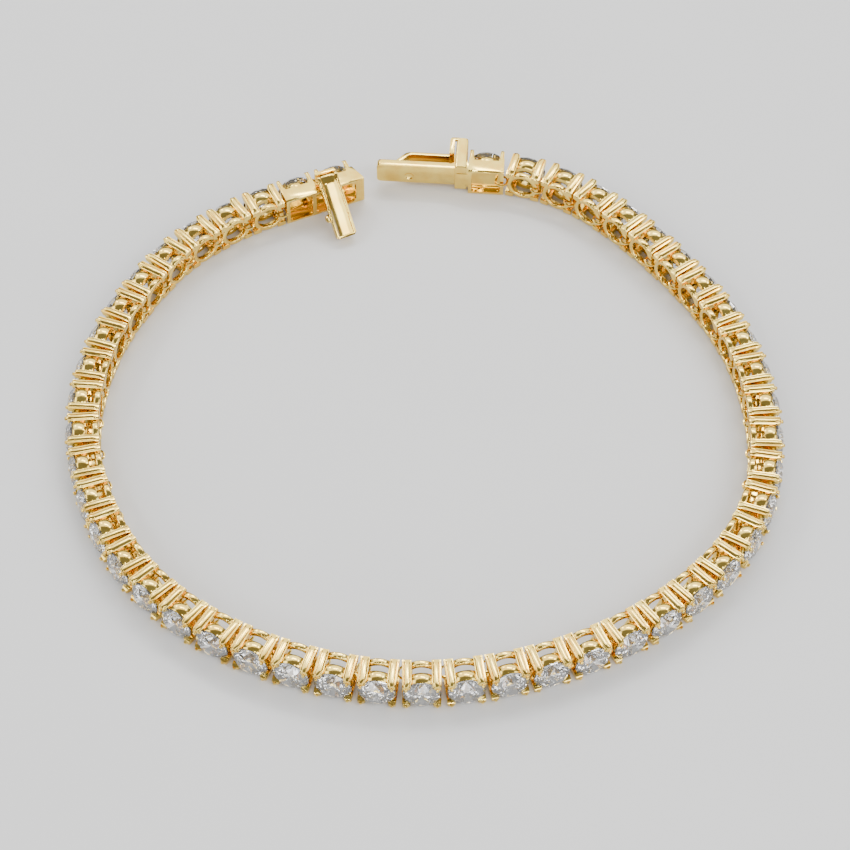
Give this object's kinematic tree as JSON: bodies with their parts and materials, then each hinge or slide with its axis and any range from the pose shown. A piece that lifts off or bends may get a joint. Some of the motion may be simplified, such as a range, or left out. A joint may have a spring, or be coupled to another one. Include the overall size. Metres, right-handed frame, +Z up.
{
  "type": "tennis bracelet",
  "caption": "Gold tennis bracelet of round stones in four-prong settings, laid on its edge in a loop with its box clasp open.",
  "frame": {"origin": "on the table, at the centre of the bounding box's underside, inside the loop of links", "axes": "+Z up from the table along the wrist's axis; +X along the loop's longest side, from the receiver's side to the side away from it; +Y towards the clasp"},
  "size_m": [0.0684, 0.0664, 0.0047],
  "materials": {
    "yellow_gold": "polished",
    "diamond": "faceted and polished"
  },
  "bodies": {
    "bracelet": {"link_01": "yellow_gold", "link_02": "yellow_gold", "link_03": "yellow_gold", "link_04": "yellow_gold", "link_05": "yellow_gold", "link_06": "yellow_gold", "link_07": "yellow_gold", "link_08": "yellow_gold", "link_09": "yellow_gold", "link_10": "yellow_gold", "link_11": "yellow_gold", "link_12": "yellow_gold", "link_13": "yellow_gold", "link_14": "yellow_gold", "link_15": "yellow_gold", "link_16": "yellow_gold", "link_17": "yellow_gold", "link_18": "yellow_gold", "link_19": "yellow_gold", "link_20": "yellow_gold", "link_21": "yellow_gold", "link_22": "yellow_gold", "link_23": "yellow_gold", "link_24": "yellow_gold", "link_25": "yellow_gold", "link_26": "yellow_gold", "link_27": "yellow_gold", "link_28": "yellow_gold", "link_29": "yellow_gold", "link_30": "yellow_gold", "link_31": "yellow_gold", "link_32": "yellow_gold", "link_33": "yellow_gold", "link_34": "yellow_gold", "link_35": "yellow_gold", "link_36": "yellow_gold", "link_37": "yellow_gold", "link_38": "yellow_gold", "link_39": "yellow_gold", "link_40": "yellow_gold", "link_41": "yellow_gold", "link_42": "yellow_gold", "link_43": "yellow_gold", "link_44": "yellow_gold", "link_45": "yellow_gold", "receiver": "yellow_gold", "receiver_stone_1": "diamond", "receiver_stone_2": "diamond", "end_box": "yellow_gold", "end_stone": "diamond"},
    "safety_bar": {"safety_bar": "yellow_gold"}
  },
  "joints": [
    {"name": "safety_bar_hinge", "type": "hinge", "parent": "bracelet", "child": "safety_bar", "pos_m": [-0.0087, 0.02723, 0.0044], "axis": [-0.9197, -0.3927, 0], "range_deg": [0, 100]}
  ]
}
